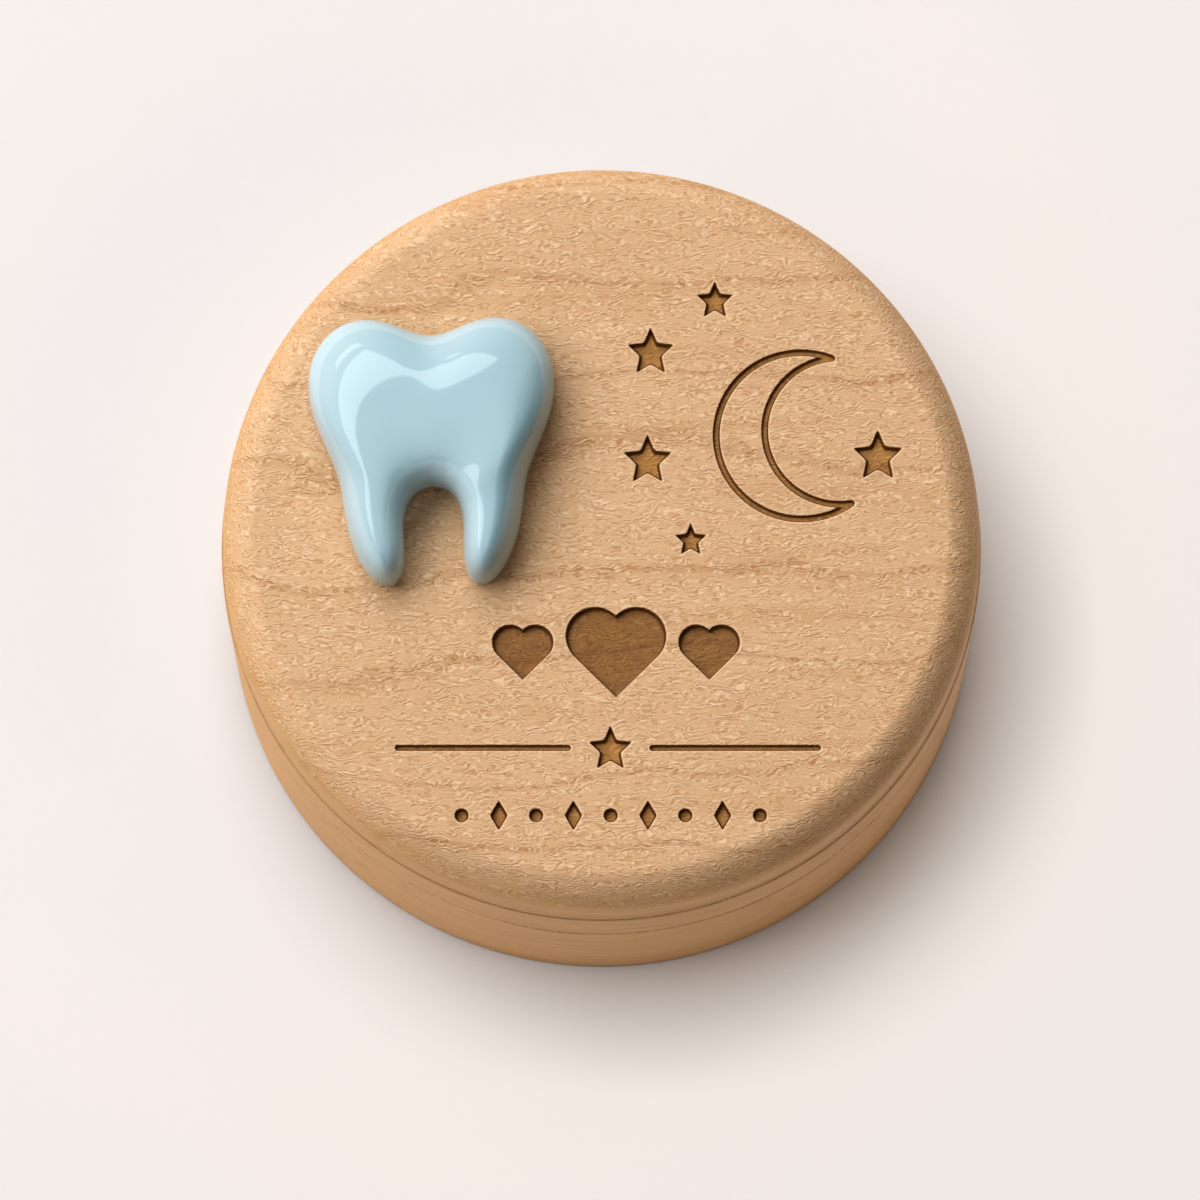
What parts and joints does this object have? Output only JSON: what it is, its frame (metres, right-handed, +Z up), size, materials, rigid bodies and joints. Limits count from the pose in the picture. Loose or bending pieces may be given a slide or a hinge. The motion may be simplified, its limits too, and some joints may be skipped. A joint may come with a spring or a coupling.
{
  "type": "baby tooth box",
  "caption": "Round turned wooden keepsake box for milk teeth: hollow base, lift-off lid with an engraved moon and stars, and a glossy molar ornament on top.",
  "frame": {"origin": "centre of the underside, on the surface that the box stands on", "axes": "+Z up along the turning axis; the lid's picture is upright towards +Y and is read from -Y"},
  "size_m": [0.06, 0.06, 0.0345],
  "materials": {
    "wood": "sanded and oiled maple",
    "tooth": "high gloss cast resin",
    "felt": "pressed wool felt",
    "magnet": "nickel plated",
    "sticky_pad": "foam adhesive"
  },
  "bodies": {
    "base": {"box_base": "wood", "base_felt": "felt", "base_magnet_1": "magnet", "base_magnet_2": "magnet", "base_magnet_3": "magnet"},
    "lid": {"box_lid": "wood", "lid_magnet_1": "magnet", "lid_magnet_2": "magnet", "lid_magnet_3": "magnet", "tooth_ornament": "tooth", "tooth_pad": "sticky_pad"}
  },
  "joints": [
    {"name": "lid_lift", "type": "slide", "parent": "base", "child": "lid", "axis": [0, 0, 1], "range_m": [0, 0.04]}
  ]
}
